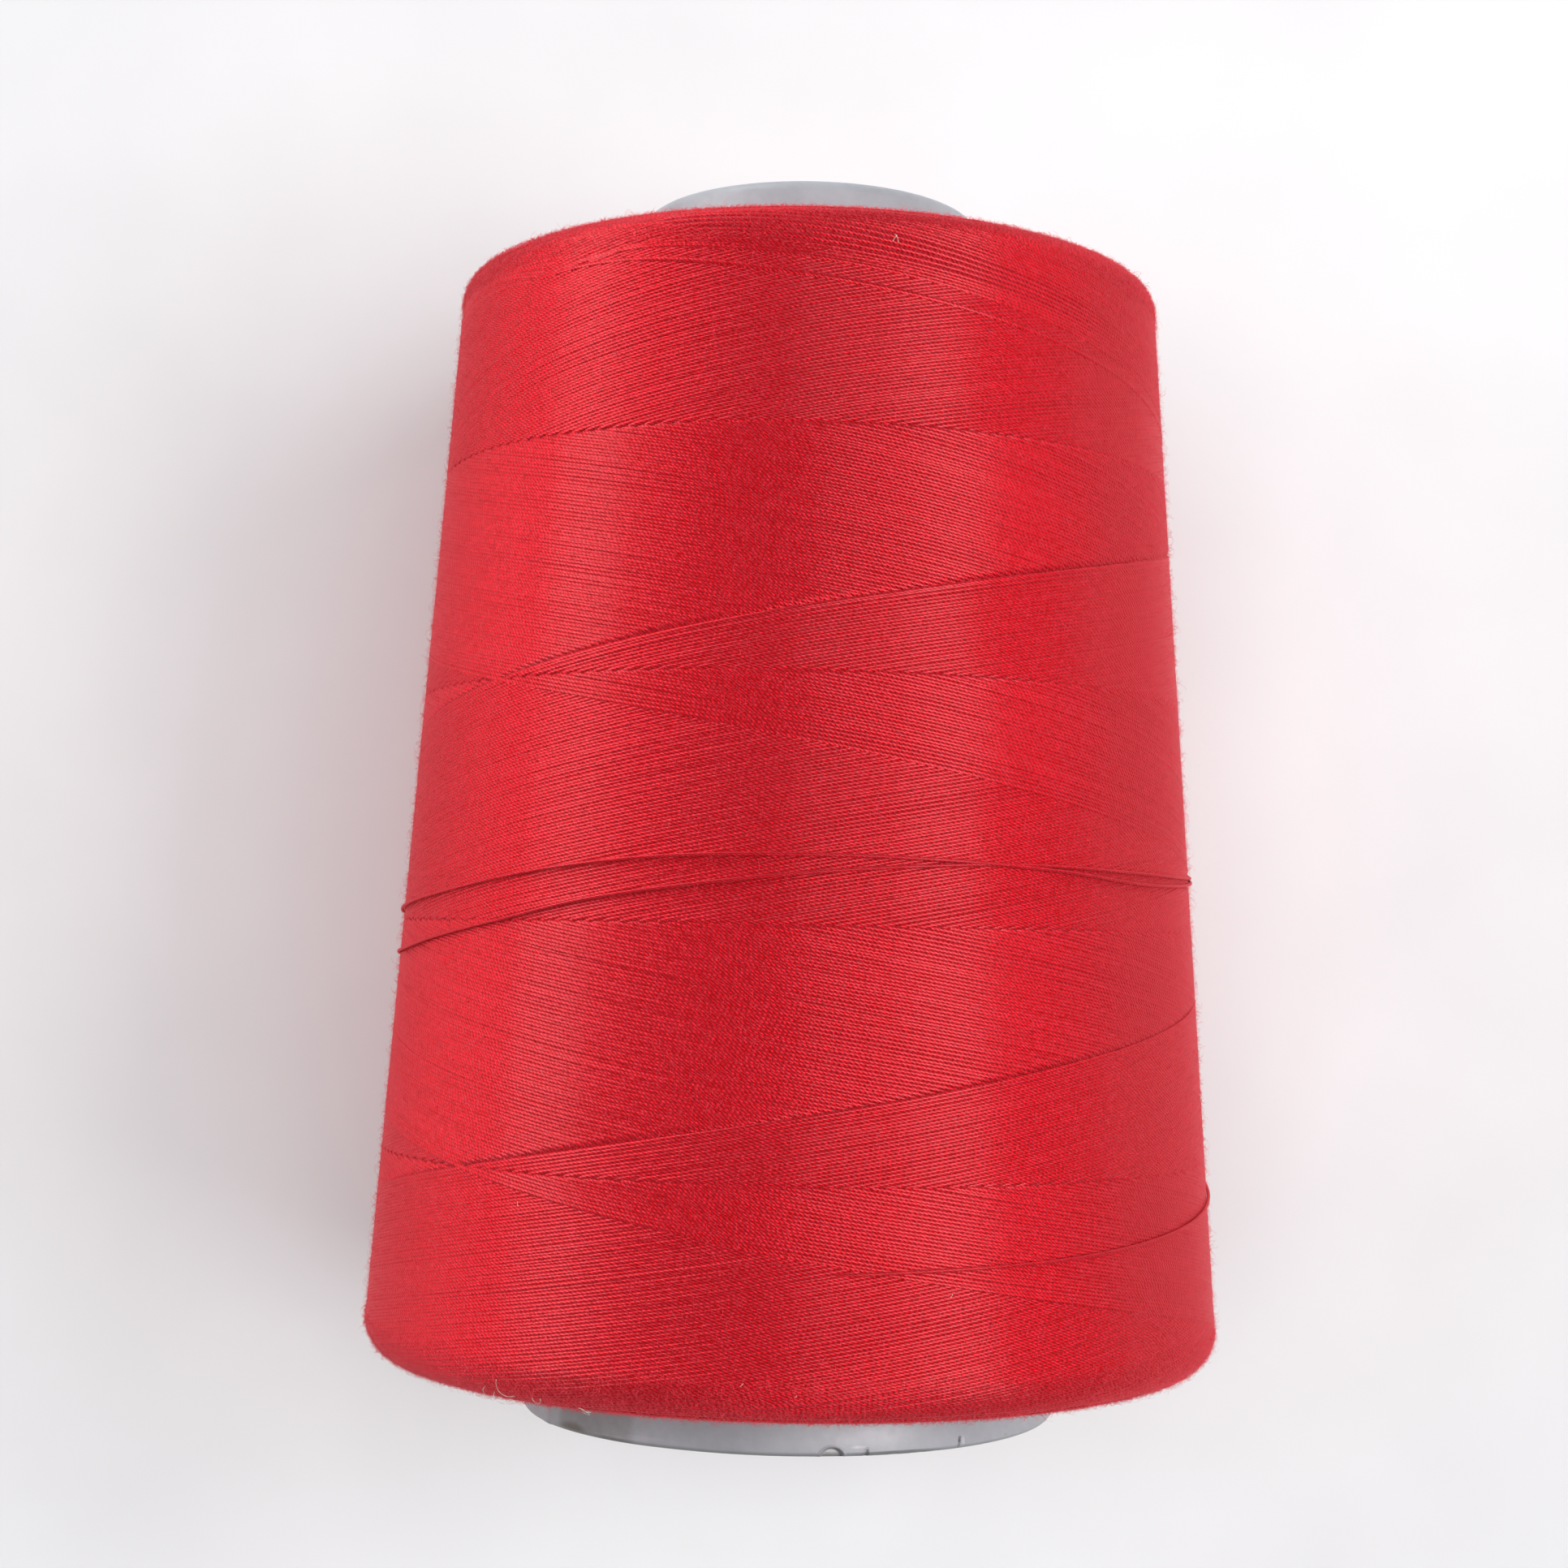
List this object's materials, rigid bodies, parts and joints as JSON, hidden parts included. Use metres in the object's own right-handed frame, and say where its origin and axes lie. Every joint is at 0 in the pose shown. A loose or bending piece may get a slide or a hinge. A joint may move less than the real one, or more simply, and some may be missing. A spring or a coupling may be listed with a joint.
{
  "type": "cone of sewing thread",
  "caption": "Tapered cone of sewing thread: one thread cross-wound on a hollow moulded plastic cone, open right through.",
  "frame": {"origin": "centre of the circle that the moulded cone's wide base stands on", "axes": "+Z along the cone's axis, from the wide base to the narrow nose; -Y is the side whose base rim has the worn nicks, and the tail slit is between -Y and +X"},
  "size_m": [0.0834, 0.0834, 0.1187],
  "materials": {
    "cone_plastic": "satin",
    "thread": "matte"
  },
  "bodies": {
    "root": {"cone_core": "cone_plastic", "wound_thread": "thread"}
  },
  "joints": []
}
